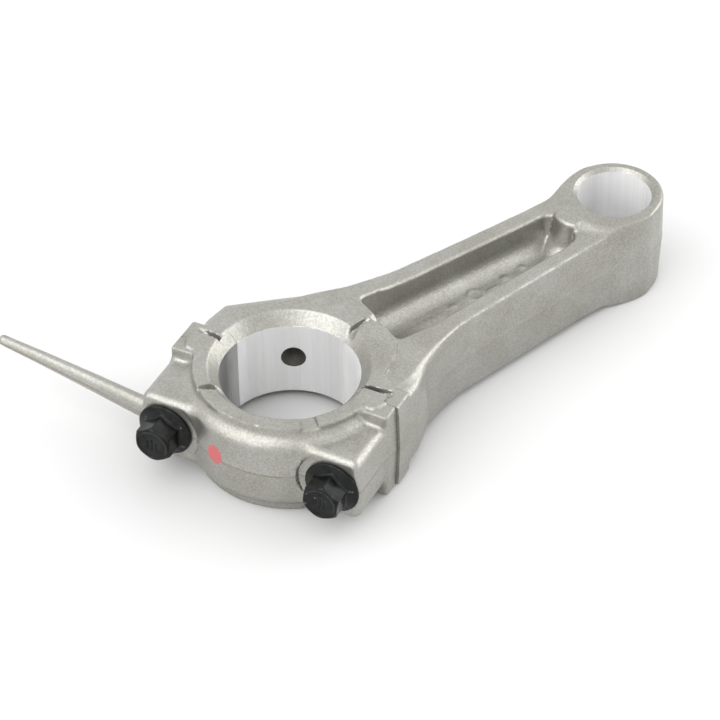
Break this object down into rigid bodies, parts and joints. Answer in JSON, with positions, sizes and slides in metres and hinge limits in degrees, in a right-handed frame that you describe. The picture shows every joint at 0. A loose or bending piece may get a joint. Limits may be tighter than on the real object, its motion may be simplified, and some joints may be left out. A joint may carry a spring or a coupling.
{
  "type": "connecting rod",
  "caption": "Cast aluminium connecting rod with a split, bolted big-end bearing, a slim oil dipper on the cap, an I-beam shank with end channel and a plain gudgeon-pin eye.",
  "frame": {"origin": "under the middle of the bounding box, on the plane the rod lies on", "axes": "+X from the big end to the small end along the line of centres, +Z along both bore axes"},
  "size_m": [0.1678, 0.106, 0.0276],
  "materials": {
    "cast_aluminium": "as-cast, with machined bores and faces",
    "cast_aluminium_cap": "as-cast, with a machined bore",
    "black_oxide_steel": "black oxide, satin"
  },
  "bodies": {
    "rod": {"rod_body": "cast_aluminium"},
    "cap": {"bearing_cap": "cast_aluminium_cap"},
    "bolt_left": {"cap_bolt_left": "black_oxide_steel"},
    "bolt_right": {"cap_bolt_right": "black_oxide_steel"}
  },
  "joints": [
    {"name": "cap_release", "type": "slide", "parent": "rod", "child": "cap", "axis": [-0.91, -0.4147, 0], "range_m": [0, 0.04]},
    {"name": "bolt_left_release", "type": "slide", "parent": "cap", "child": "bolt_left", "axis": [-0.91, -0.4147, 0], "range_m": [0, 0.036]},
    {"name": "bolt_right_release", "type": "slide", "parent": "cap", "child": "bolt_right", "axis": [-0.91, -0.4147, 0], "range_m": [0, 0.036]}
  ]
}
